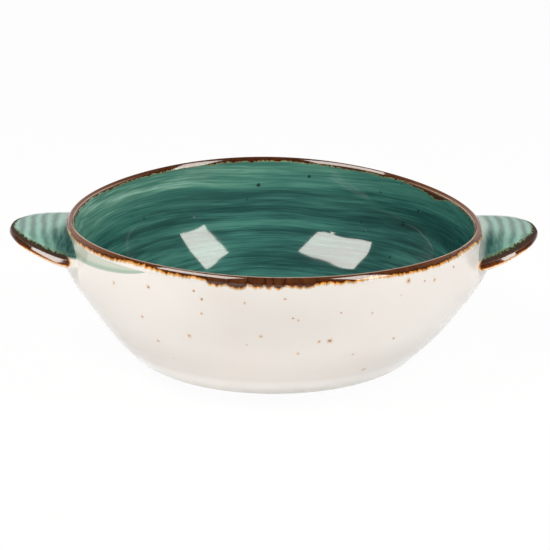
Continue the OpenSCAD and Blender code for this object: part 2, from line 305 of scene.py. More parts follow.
def ironBand(tree, fringe):  # colour and cover of the brown rim coat, ragged at its lower edge
    depth = field(tree, "rimDepth")
    strokes = field(tree, "strokes", "Vector")
    fine = addNode(tree, "ShaderNodeVectorMath", {0: strokes,
                   1: [1 / band["teethSize"]] * 2 + [band["teethFall"]]}, operation="MULTIPLY")
    teeth = addNode(tree, "ShaderNodeTexNoise", {"Vector": fine.outputs[0], "Scale": 1, "Detail": 4})
    sweep = addNode(tree, "ShaderNodeTexNoise",
                    {"Vector": strokes, "Scale": 1 / band["sweepSize"], "Detail": 1})
    faced = field(tree, "faced")
    jitter = addNode(tree, "ShaderNodeTexNoise", {"Vector": strokes, "Scale": 1 / band["jitterSize"]})
    across = addNode(tree, "ShaderNodeSeparateXYZ", {0: strokes})
    across = addNode(tree, "ShaderNodeMath", {0: jitter.outputs["Fac"], 1: band["jitter"],
                     2: across.outputs["X"]}, operation="MULTIPLY_ADD")
    left, right, stops = runStops()
    across = addNode(tree, "ShaderNodeMapRange", {"Value": across.outputs[0],
                     "From Min": left + band["jitter"] / 2, "From Max": right + band["jitter"] / 2})
    drop = addNode(tree, "ShaderNodeValToRGB", {"Fac": across.outputs[0]}, stops=stops)
    run = addNode(tree, "ShaderNodeMath", {0: drop.outputs["Color"], 1: faced}, operation="MULTIPLY")
    blotted = field(tree, "blot")
    below = addNode(tree, "ShaderNodeMath", {0: depth, 1: blotted}, operation="SUBTRACT")
    below = addNode(tree, "ShaderNodeMath", {0: run.outputs[0], 1: -runs["most"], 2: below.outputs[0]},
                    operation="MULTIPLY_ADD")
    below = addNode(tree, "ShaderNodeMath", {0: teeth.outputs["Fac"], 1: -4 * band["teeth"],
                    2: below.outputs[0]}, operation="MULTIPLY_ADD")
    below = addNode(tree, "ShaderNodeMath", {0: sweep.outputs["Fac"], 1: -4 * band["sweep"],
                    2: below.outputs[0]}, operation="MULTIPLY_ADD")
    middle = band["depth"] - 2 * band["teeth"] - 2 * band["sweep"]
    edge = addNode(tree, "ShaderNodeMapRange", {"Value": below.outputs[0],
                   "From Min": middle - band["reach"], "From Max": middle + band["reach"]})
    ramp = addNode(tree, "ShaderNodeValToRGB", {"Fac": edge.outputs[0]}, stops=fringe)
    mottle = addNode(tree, "ShaderNodeTexNoise",
                     {"Vector": strokes, "Scale": 1 / band["mottleSize"], "Detail": 4})
    shade = addNode(tree, "ShaderNodeValToRGB", {"Fac": mottle.outputs["Fac"]},
                    stops=[(0.35, band["shade"], 1), (0.65, "#ffffff", 1)])
    seam = addNode(tree, "ShaderNodeMath", {0: drop.outputs["Alpha"], 1: faced}, operation="MULTIPLY")
    brown = addNode(tree, "ShaderNodeMixRGB", {"Fac": band["mottle"], "Color1": ramp.outputs["Color"],
                    "Color2": shade.outputs[0]}, blend_type="MULTIPLY")
    brown = addNode(tree, "ShaderNodeMixRGB", {"Fac": seam.outputs[0], "Color1": brown.outputs[0],
                    "Color2": linear(band["seam"])})
    thick = addNode(tree, "ShaderNodeMapRange", {"Value": edge.outputs[0], "From Min": 0.3,
                    "From Max": 0.42, "To Min": 1, "To Max": 0})
    # painted sheen: the rim glaze turns paler near the crest on the left and right sides
    paintedSideSheen = field(tree, "paintedSideSheen")
    pale = addNode(tree, "ShaderNodeMath", {0: thick.outputs[0], 1: paintedSideSheen}, operation="MULTIPLY")
    brown = addNode(tree, "ShaderNodeMixRGB", {"Fac": pale.outputs[0], "Color1": brown.outputs[0],
                    "Color2": linear(band["pale"])})
    return brown.outputs[0], ramp.outputs["Alpha"]


outerFringe = [(0, "#5a3015", 1), (0.36, "#50270c", 1), (0.46, "#3a1603", 1), (0.5, "#8a4208", 1),
               (0.56, "#d98a2b", 1), (0.68, "#f2b45c", 0.95), (0.8, "#f4cf94", 0.6),
               (0.95, "#f6e2c4", 0)]
innerFringe = [(0, "#5a3015", 1), (0.4, "#4c250d", 1), (0.48, "#3a1e08", 1), (0.54, "#a8803f", 0.9),
               (0.64, "#7f9f78", 0.5), (0.8, "#5c9c88", 0)]

speckLook = {
    "ragged": 1.2, "raggedSize": 0.8,
    # x, y, height and width in millimetres; each is seen again mirrored on the far side
    "outside": [
        (-63, -51, 47, 0.9), (-49, -64, 50, 0.9), (-32, -75, 52, 0.6), (-29, -76, 49, 0.7),
        (-13, -81, 49, 0.6), (-52, -59, 36, 0.8), (-29, -75, 43, 0.6), (-34, -70, 32, 1.0),
        (-7, -79, 35, 0.8), (-46, -59, 26, 0.8), (-12, -76, 31, 0.6), (-40, -58, 19, 0.5),
        (49, -65, 52, 1.2), (56, -60, 50, 0.6), (60, -56, 49, 0.8), (68, -46, 51, 0.6),
        (46, -67, 47, 0.6), (2, -82, 51, 0.6), (5, -81, 43, 0.5), (7, -81, 42, 0.6),
        (23, -78, 44, 0.5), (35, -73, 42, 0.5), (19, -76, 32, 1.1), (15, -77, 32, 0.7),
        (44, -63, 28, 0.7), (7, -75, 27, 0.9), (28, -69, 24, 0.6), (33, -59, 14, 1.2)],
    "inside": [
        (-5, 78, 47, 1.2), (-59, 49, 42, 0.9), (-54, 53, 40, 0.8), (-33, 67, 37, 0.7),
        (-16, 72, 35, 0.7), (-10, 76, 41, 0.6), (17, 77, 51, 1.1), (47, 63, 48, 0.8),
        (55, 55, 54, 1.1), (62, 48, 44, 1.0), (39, 64, 34, 0.7), (56, 52, 37, 1.1),
        (41, 61, 32, 0.7), (50, 47, 24, 1.0), (76, 24, 45, 0.8), (27, 67, 29, 0.7)],
}


def speckDistance(tree, places):  # distance from the nearest iron speck, in widths of that speck
    coords = addNode(tree, "ShaderNodeTexCoord").outputs["Object"]
    ragged = addNode(tree, "ShaderNodeTexNoise",
                     {"Vector": coords, "Scale": 1 / (speckLook["raggedSize"] * mm)})
    uneven = addNode(tree, "ShaderNodeVectorMath", {0: ragged.outputs["Color"], 1: [0.5] * 3},
                     operation="SUBTRACT")
    uneven = addNode(tree, "ShaderNodeVectorMath",
                     {0: uneven.outputs[0], "Scale": speckLook["ragged"] * mm}, operation="SCALE")
    moved = addNode(tree, "ShaderNodeVectorMath", {0: coords, 1: uneven.outputs[0]}, operation="ADD")
    parts = addNode(tree, "ShaderNodeSeparateXYZ", {0: moved.outputs[0]})
    near = addNode(tree, "ShaderNodeMath", {0: parts.outputs["Y"]}, operation="ABSOLUTE")
    folded = addNode(tree, "ShaderNodeCombineXYZ", {"X": parts.outputs["X"], "Y": near.outputs[0],
                     "Z": parts.outputs["Z"]})
    nearest = None
    for x, y, z, width in places:
        away = addNode(tree, "ShaderNodeVectorMath",
                       {0: folded.outputs[0], 1: [x * mm, abs(y) * mm, z * mm]}, operation="DISTANCE")
        away = addNode(tree, "ShaderNodeMath", {0: away.outputs["Value"], 1: width * mm},
                       operation="DIVIDE")
        if nearest:
            away = addNode(tree, "ShaderNodeMath", {0: nearest.outputs[0], 1: away.outputs[0]},
                           operation="MINIMUM")
        nearest = away
    return nearest.outputs[0]


whiteGlazeLook = {"gloss": 0.12, "cloud": 45, "light": "#f0eeeb", "shade": "#ebe7e2",
                  "speck": "#8e5c2a", "halo": "#d9a765", "spillPale": "#c7d1c2", "spillEdge": "#a1baaa",
                  # the painted light at the foot and the painted shade on the lower wall change over
                  # this height above the foot
                  "hem": 24, "paintedFootLight": "#f8f6f1", "paintedLightAboveFoot": "#fbfaf7", "paintedLowWallShade": "#dedad4"}


def whiteGlaze():  # stoneware dipped in clear glaze: warm white gloss, iron specks that bleed orange; painted light near the foot and painted shade on the lower wall
    look = whiteGlazeLook
    material, tree, shader = startMaterial("clear-glazed white stoneware", look["gloss"])
    coords = addNode(tree, "ShaderNodeTexCoord").outputs["Object"]
    cloud = addNode(tree, "ShaderNodeTexNoise", {"Vector": coords, "Scale": 1 / (look["cloud"] * mm)})
    body = addNode(tree, "ShaderNodeValToRGB", {"Fac": cloud.outputs["Fac"]},
                   stops=[(0.3, look["shade"], 1), (0.7, look["light"], 1)])
    size = speckDistance(tree, speckLook["outside"])
    halo = addNode(tree, "ShaderNodeMapRange", {"Value": size, "From Min": 0.5, "From Max": 1.4,
                   "To Min": 0.6, "To Max": 0})
    core = addNode(tree, "ShaderNodeMapRange", {"Value": size, "From Min": 0.3, "From Max": 0.7,
                   "To Min": 0.85, "To Max": 0})
    colour = addNode(tree, "ShaderNodeMixRGB", {"Fac": halo.outputs[0], "Color1": body.outputs[0],
                     "Color2": linear(look["halo"])})
    colour = addNode(tree, "ShaderNodeMixRGB", {"Fac": core.outputs[0], "Color1": colour.outputs[0],
                     "Color2": linear(look["speck"])})
    height = addNode(tree, "ShaderNodeSeparateXYZ", {0: coords})
    height = addNode(tree, "ShaderNodeMapRange", {"Value": height.outputs["Z"], "From Min": footZ * mm,
                     "From Max": (footZ + look["hem"]) * mm})
    # painted light on the base just above the foot, then painted shade on the lower wall that fades out
    # higher up
    hem = addNode(tree, "ShaderNodeValToRGB", {"Fac": height.outputs[0]}, stops=[
        (0.117, look["paintedFootLight"], 0.9), (0.15, look["paintedFootLight"], 0.8), (0.18, look["paintedLightAboveFoot"], 0.9),
        (0.29, look["paintedLightAboveFoot"], 0.5), (0.4, look["paintedLowWallShade"], 0.45), (0.6, look["paintedLowWallShade"], 0.55),
        (1, look["paintedLowWallShade"], 0)])
    colour = addNode(tree, "ShaderNodeMixRGB", {"Fac": hem.outputs["Alpha"],
                     "Color1": colour.outputs[0], "Color2": hem.outputs["Color"]})
    reach = field(tree, "spill")
    tint = addNode(tree, "ShaderNodeValToRGB", {"Fac": reach}, stops=[
        (0.3, look["spillPale"], 0.9), (0.66, look["spillPale"], 0.9), (0.84, look["spillEdge"], 1),
        (0.94, look["spillEdge"], 0.85), (1, look["spillEdge"], 0)])
    colour = addNode(tree, "ShaderNodeMixRGB", {"Fac": tint.outputs["Alpha"],
                     "Color1": colour.outputs[0], "Color2": tint.outputs["Color"]})
    brown, cover = ironBand(tree, outerFringe)
    colour = addNode(tree, "ShaderNodeMixRGB", {"Fac": cover, "Color1": colour.outputs[0],
                     "Color2": brown})
    tree.links.new(colour.outputs[0], shader.inputs["Base Color"])
    return material


tealLook = {  # widths and lengths of the strokes in millimetres, then how far they show
    "broad": 9, "broadRun": 120, "fine": 3.2, "fineRun": 65, "hair": 0.8, "hairRun": 18,
    "hairShare": 0.9, "sway": 4, "swaySize": 70, "ripple": 16, "rippleHigh": 0.25, "speck": "#14211c",
    "thick": 1.21, "thin": 1.71, "contrast": 0.4, "gloss": 0.06, "ior": 1.57,
}


def tealColours(tree):  # brush strokes that run round the bowl, light where the glaze lies thin
    look = tealLook
    strokes = field(tree, "strokes", "Vector")
    sway = addNode(tree, "ShaderNodeTexNoise", {"Vector": strokes, "Scale": 1 / look["swaySize"],
                   "Detail": 1})
    lift = addNode(tree, "ShaderNodeMath", {0: sway.outputs["Fac"], 1: 2 * look["sway"]},
                   operation="MULTIPLY")
    up = addNode(tree, "ShaderNodeCombineXYZ", {"Z": lift.outputs[0]})
    swayed = addNode(tree, "ShaderNodeVectorMath", {0: strokes, 1: up.outputs[0]}, operation="ADD")
    layers = []
    for run, width, detail in ((look["broadRun"], look["broad"], 2), (look["fineRun"], look["fine"], 4),
                               (look["hairRun"], look["hair"], 3)):
        stretched = addNode(tree, "ShaderNodeVectorMath", {0: swayed.outputs[0],
                            1: [1 / run, 1 / run, 1 / width]}, operation="MULTIPLY")
        layers.append(addNode(tree, "ShaderNodeTexNoise", {"Vector": stretched.outputs[0], "Scale": 1,
                              "Detail": detail, "Roughness": 0.6}))
    mixed = addNode(tree, "ShaderNodeMath", {0: layers[0].outputs["Fac"], 1: layers[1].outputs["Fac"]},
                    operation="ADD")
    mixed = addNode(tree, "ShaderNodeMath", {0: layers[2].outputs["Fac"], 1: look["hairShare"],
                    2: mixed.outputs[0]}, operation="MULTIPLY_ADD")
    colour = addNode(tree, "ShaderNodeMapRange", {"Value": mixed.outputs[0],
                     "From Min": look["thick"], "From Max": look["thin"], "To Max": look["contrast"]})
    tone = field(tree, "tone")
    colour = addNode(tree, "ShaderNodeMath", {0: colour.outputs[0], 1: tone}, operation="ADD")
    return addNode(tree, "ShaderNodeValToRGB", {"Fac": colour.outputs[0]}, stops=[
        (0, "#183f3d", 1), (0.2, "#255350", 1), (0.42, "#3a736b", 1), (0.62, "#4f8b7f", 1),
        (0.78, "#66a190", 1), (0.9, "#86bcaa", 1), (1, "#b0dfcf", 1)]).outputs["Color"]


def tealGlaze():  # reactive teal glaze brushed on in rings: glossy, streaked light and dark
    look = tealLook
    material, tree, shader = startMaterial("brushed teal reactive glaze", look["gloss"], look["ior"])
    size = speckDistance(tree, speckLook["inside"])
    speck = addNode(tree, "ShaderNodeMapRange", {"Value": size, "From Min": 0.4, "From Max": 0.9,
                    "To Min": 0.85, "To Max": 0})
    colour = addNode(tree, "ShaderNodeMixRGB", {"Fac": speck.outputs[0], "Color1": tealColours(tree),
                     "Color2": linear(look["speck"])})
    brown, cover = ironBand(tree, innerFringe)
    colour = addNode(tree, "ShaderNodeMixRGB", {"Fac": cover, "Color1": colour.outputs[0],
                     "Color2": brown})
    coords = addNode(tree, "ShaderNodeTexCoord").outputs["Object"]
    ripple = addNode(tree, "ShaderNodeTexNoise", {"Vector": coords, "Detail": 1,
                     "Scale": 1 / (look["ripple"] * mm)})
    pit = addNode(tree, "ShaderNodeMapRange", {"Value": size, "From Max": 1.6, "To Min": -0.3,
                  "To Max": 0})
    height = addNode(tree, "ShaderNodeMath", {0: ripple.outputs["Fac"], 1: pit.outputs[0]},
                     operation="ADD")
    bump = addNode(tree, "ShaderNodeBump", {"Height": height.outputs[0], "Strength": 1,
                   "Distance": look["rippleHigh"] * mm})
    tree.links.new(colour.outputs[0], shader.inputs["Base Color"])
    tree.links.new(bump.outputs[0], shader.inputs["Normal"])
    return material


def ironGlaze():  # iron-brown glaze wiped over the lip: glossy brown that breaks orange at its edge
    material, tree, shader = startMaterial("wiped iron-brown rim glaze", band["gloss"], band["ior"])
    inside = field(tree, "inside")
    under = addNode(tree, "ShaderNodeMixRGB", {"Fac": inside, "Color1": linear(whiteGlazeLook["light"]),
                    "Color2": tealColours(tree)})
    outer, outerCover = ironBand(tree, outerFringe)
    inner, innerCover = ironBand(tree, innerFringe)
    brown = addNode(tree, "ShaderNodeMixRGB", {"Fac": inside, "Color1": outer, "Color2": inner})
    cover = addNode(tree, "ShaderNodeMixRGB", {"Fac": inside, "Color1": outerCover,
                    "Color2": innerCover})
    colour = addNode(tree, "ShaderNodeMixRGB", {"Fac": cover.outputs[0], "Color1": under.outputs[0],
                     "Color2": brown.outputs[0]})
    brink = field(tree, "brink")
    colour = addNode(tree, "ShaderNodeMixRGB", {"Fac": brink, "Color1": colour.outputs[0],
                     "Color2": linear(lipLines["pale"])})
    tree.links.new(colour.outputs[0], shader.inputs["Base Color"])
    return material


whiteMaterial = whiteGlaze()
tealMaterial = tealGlaze()
ironMaterial = ironGlaze()
print("wall glazes mixed")

bodyRows = np.vstack([underRows, outerRows[:-1], lipRows, innerRows[1:]])
bowlBody = loftMesh("bowlBody", place(bodyRows, turns), [0, 0, footZ], [0, 0, floorZ])
finishPiece(bowlBody, "bowl_body", whiteMaterial, wallFields)

floorCoat = floorZ + wall["glaze"]
innerCoat = coated(np.vstack([lipRows[-3:-1], innerRows]), wall["glaze"])[2:]
innerCoat[-wall["floorRows"] + 1:, 1] = floorCoat
innerGlaze = loftMesh("innerGlaze", place(np.vstack([innerRows[::-1], innerCoat]), turns),
                      [0, 0, floorZ], [0, 0, floorCoat])
finishPiece(innerGlaze, "inner_glaze", tealMaterial, wallFields)

feather = 0.06  # share of its thickness that a brown coat keeps where it runs out on the white
rimThick = np.minimum(1, feather + np.arange(len(lipRows)) / 5)[:, None] * wall["glaze"]
rimCoat = coated(np.vstack([outerRows[-3:-1], lipRows, innerRows[1:3]]),
                 np.vstack([rimThick[:1], rimThick[:1], rimThick, rimThick[-2:]]))[2:-2]
rimGlaze = loftMesh("rimGlaze", place(np.vstack([lipRows[::-1], rimCoat]), turns), looped=True)
finishPiece(rimGlaze, "rim_glaze", ironMaterial, wallFields)


# The foot ring: turned from the same clay and wiped clean of glaze

foot = {"inset": 6.5, "width": 6, "taper": 0.2, "edge": 0.5, "columns": 240,
        "grit": 0.8, "gritHigh": 0.1, "matt": 0.75, "dark": "#cfc4b2", "light": "#e4dccd"}


def bareClay():  # unglazed fired stoneware: pale, matt and slightly gritty
    material, tree, shader = startMaterial("bare turned stoneware", foot["matt"])
    coords = addNode(tree, "ShaderNodeTexCoord").outputs["Object"]
    grit = addNode(tree, "ShaderNodeTexNoise", {"Vector": coords, "Detail": 4,
                   "Scale": 1 / (foot["grit"] * mm)})
    colour = addNode(tree, "ShaderNodeValToRGB", {"Fac": grit.outputs["Fac"]},
                     stops=[(0.3, foot["dark"], 1), (0.7, foot["light"], 1)])
    bump = addNode(tree, "ShaderNodeBump", {"Height": grit.outputs["Fac"], "Strength": 0.6,
                   "Distance": foot["gritHigh"] * mm})
    tree.links.new(colour.outputs[0], shader.inputs["Base Color"])
    tree.links.new(bump.outputs[0], shader.inputs["Normal"])
    return material


footOuter = baseR - foot["inset"]
footInner = footOuter - foot["width"]
footTaper = foot["taper"] * foot["width"]
edge = foot["edge"]
footRows = np.vstack([
    [[footInner, footZ]],
    bend([footInner + footTaper * (1 - edge / footZ), edge], [footInner + footTaper, 0],
         [footInner + footTaper + edge, 0], 4),
    bend([footOuter - footTaper - edge, 0], [footOuter - footTaper, 0],
         [footOuter - footTaper * (1 - edge / footZ), edge], 4),
    [[footOuter, footZ]],
])
footRows = np.column_stack([footRows, 0 * footRows[:, 0]])
footTurns = np.arange(foot["columns"]) * 2 * math.pi / foot["columns"]
footRing = loftMesh("footRing", place(footRows, footTurns), looped=True)
finishPiece(footRing, "foot_ring", bareClay(), wallFields)


# The lugs: arched tongues luted on under the rim

lug = {
    "reach": 23.7, "width": 55, "thick": 3.3, "arch": 10.6, "droop": 3.4, "leftDown": 1.6,
    "rightDown": 0.8, "gussetRun": 15, "gussetSlope": 1.1, "gussetRound": 0.6, "gussetFade": 3,
    "archPower": 3.2, "droopPower": 4.4, "outlinePower": 1.83, "rootInset": 0.5, "band": 3.4,
    # sections of the edge from below, out and down from the end of the top:
    # round at the tip, sloping at the sides and hanging lower there
    "tipEdge": [(1.6, 3.3), (2.4, 3.15), (2.85, 2.8), (3.1, 2.3), (3.2, 1.75), (3.15, 1.3), (2.95, 0.9),
                (2.65, 0.55), (2.2, 0.28), (1.6, 0.1), (0.8, 0.02), (0, 0)],
    "sideEdge": [(1.6, 4.17), (2.4, 4.26), (2.95, 4.17), (3.2, 3.92), (3.2, 3.64), (2.99, 3.29),
                 (2.52, 2.72), (2.03, 2.16), (1.54, 1.6), (1.03, 1.06), (0.52, 0.53), (0, 0)],
    "columns": 200, "underRows": 14, "topRows": 16, "innermost": 0.04,
}
lugHalf = lug["width"] / 2
rootX = math.sqrt(rimR ** 2 - lugHalf ** 2)
lugLen = rimR + lug["reach"] - rootX
midShare = 1 - max(point[0] for point in lug["sideEdge"]) / lugLen
edgeShare = 1 - lug["band"] / lugLen
lugTurns = np.arange(lug["columns"]) * 2 * math.pi / lug["columns"]


def outline(turn):
    c = np.cos(turn)
    x = np.where(c > 0, lugLen * np.abs(c) ** (2 / lug["outlinePower"]), lug["rootInset"] * lugLen * c)
    return np.column_stack([x, lugHalf * np.sin(turn)])


def lugFall(p):  # how far the clay's top lies below its highest point
    side = np.abs(p[:, 1]) / lugHalf
    out = np.maximum(0, p[:, 0]) / lugLen
    return lug["arch"] * side ** lug["archPower"] + lug["droop"] * out ** lug["droopPower"]


def gusset(p):  # depth of the clay that carries the lug from below
    run = np.maximum(0, lug["gussetRun"] + rimR - np.hypot(rootX + p[:, 0], p[:, 1]))
    soft = lug["gussetRound"] * lug["gussetRun"]
    return lug["gussetSlope"] * np.where(run < soft, run ** 2 / (2 * soft), run - soft / 2)


def lugRing(p, z):
    return np.column_stack([rootX + p[:, 0], p[:, 1], z])


def topRing(share, skin):
    p = share * outline(lugTurns)
    return lugRing(p, skin - lugFall(p))


def underRing(share):
    p = share * outline(lugTurns)
    return lugRing(p, -lugFall(p) - lug["thick"] - (1 - share ** lug["gussetFade"]) * gusset(p))


def edgeRing(atTip, beside):
    mid = midShare * outline(lugTurns)
    step = math.pi / lug["columns"]
    along = outline(lugTurns + step) - outline(lugTurns - step)
    along /= np.linalg.norm(along, axis=1, keepdims=True)
    outward = np.column_stack([along[:, 1], -along[:, 0]])
    fromTip = rise(np.abs(np.sin(lugTurns)), 0.2, 0.5)
    out, down = (atTip[:, None] + (beside - atTip)[:, None] * (3 - 2 * fromTip) * fromTip ** 2)
    return lugRing(mid + out[:, None] * outward, -lugFall(mid) - down)


crownShares = np.linspace(edgeShare, lug["innermost"], lug["topRows"])
edgeClay = np.array([lug["tipEdge"], lug["sideEdge"]])
skins = wall["glaze"] * np.minimum(1, feather + np.arange(edgeClay.shape[1]) / 4)[:, None]
edgeCoat = [coated(section * [1, -1], skins) * [1, -1] for section in edgeClay]
lugEdgeClay = [edgeRing(*points) for points in zip(*edgeClay)] + [topRing(edgeShare, 0)]
lugEdgeCoat = [edgeRing(*points) for points in zip(*edgeCoat)] + [topRing(edgeShare, wall["glaze"])]
underShares = np.linspace(lug["innermost"], midShare, lug["underRows"])[:-1]
centre = np.zeros((1, 2))
lugTop = [rootX, 0, 0]
lugTopCoat = [rootX, 0, wall["glaze"]]
lugUnder = [rootX, 0, -lug["thick"] - gusset(centre)[0]]
crownClay = [topRing(share, 0) for share in crownShares]
crownCoat = [topRing(share, wall["glaze"]) for share in crownShares]
lugLofts = {
    "Lug": ([underRing(share) for share in underShares] + lugEdgeClay + crownClay[1:],
            lugUnder, lugTop),
    "LugGlaze": (crownClay[::-1] + crownCoat, lugTop, lugTopCoat),
    "LugEdge": (lugEdgeClay[::-1] + lugEdgeCoat, None, None),
}


def wallRadius(z, turn):
    share = rise(z, footZ, outerRise)
    flat = np.column_stack([outerWall(share)[:, 0], z, flareAt(share)])
    spots = [place(row[None], np.array([t]))[0, 0, :2] for row, t in zip(flat, turn)]
    return np.array([np.hypot(*spot) for spot in spots])


lugSides = {"left": (-1, lug["leftDown"]), "right": (1, lug["rightDown"])}
lugLift = {side: wall["rimHeight"] - wall["rimTilt"] * direction - wall["rimDip"] - down - wall["glaze"]
           for side, (direction, down) in lugSides.items()}


stripes = {  # sizes in millimetres; pairs are left and right
    "period": 4.5, "first": (92.3, 91), "swing": 1.6, "swingSize": 13, "grainSize": 0.9,
    "drawn": (1, 0.12, 0.5), "grain": 1.4, "ragged": 0.13, "raggedSize": 1.1,
    "dryRun": 0.012, "gloss": 0.08,
    "mint": "#92bbaf", "grey": "#688780", "teal": "#5a9c8a", "pool": "#0e3f3d", "pale": "#c3cbc6",
    "drop": "#ecebe6",
}
lugCoat = {  # where the glazes lie on a lug: millimetres, or shares of its outline; pairs as above
    "outlineMean": 1.9, "fringeIn": 0.012, "fringeSag": 0.045, "dryEnd": (0.928, 0.94),
    "wetFrom": 0.15, "wetRun": 0.45, "poolCover": 1.3, "poolWide": 3, "poolSpread": 5,
    "thinCover": (0.7, 0.65), "thinWide": (1.3, 1.6), "underFrom": 2.4, "underRun": 1.6,
    "rootWide": (3.3, 0.8), "rootWiden": 0.3, "rootMiddle": 1.8, "rootRun": 1.6,
    "hemFrom": 0.5, "hemRun": 0.4,
}


def lugFields(points):  # what the lugs' glazes need to know of each point
    x, y, z = points.T

    def bySide(pair):
        return np.where(x < 0, *pair)

    coat = lugCoat
    front = -y / lugHalf
    fromAxis = np.hypot(x, y)
    out = np.maximum(np.abs(x) - rootX, 0) / lugLen
    share = (out ** lug["outlinePower"] + (y / lugHalf) ** 2) ** (1 / coat["outlineMean"])
    fromWall = np.maximum(0, fromAxis - wallRadius(z, np.arctan2(y, x)))
    inner = np.column_stack([np.abs(x) - rootX, y]) * (midShare / np.maximum(share, midShare))[:, None]
    below = bySide((lugLift["left"], lugLift["right"])) - lugFall(inner) - z
    wet = rise(front, coat["wetFrom"], coat["wetRun"])
    pooled = ridge(fromWall, 0, coat["poolWide"] + coat["poolSpread"] * wet)
    thinCover = bySide(coat["thinCover"]) * bySide((rise(-front, -0.3, 0.4), 1))
    rootEnd = bySide(coat["rootWide"]) + coat["rootWiden"] * (below - coat["rootMiddle"]) ** 2
    fields = wallFields(points)
    fields.update({
        "stripe": fromAxis - bySide(stripes["first"]),
        "edgeShare": share - coat["fringeIn"] - coat["fringeSag"] * np.clip(1 - front ** 2, 0, 1),
        "dryEnd": bySide(coat["dryEnd"]),
        "under": rise(below, coat["underFrom"], coat["underRun"]),
        "pool": np.minimum(1, coat["poolCover"] * pooled) * wet,
        "thin": thinCover * ridge(fromWall, 0, bySide(coat["thinWide"])),
        "root": rise(rootEnd - fromWall, 0, coat["rootRun"]) * rise(front, 0.3, 0.1),
        "hem": rise(below, coat["hemFrom"], coat["hemRun"]),
        "front": rise(front, -1, 2)})
    return fields


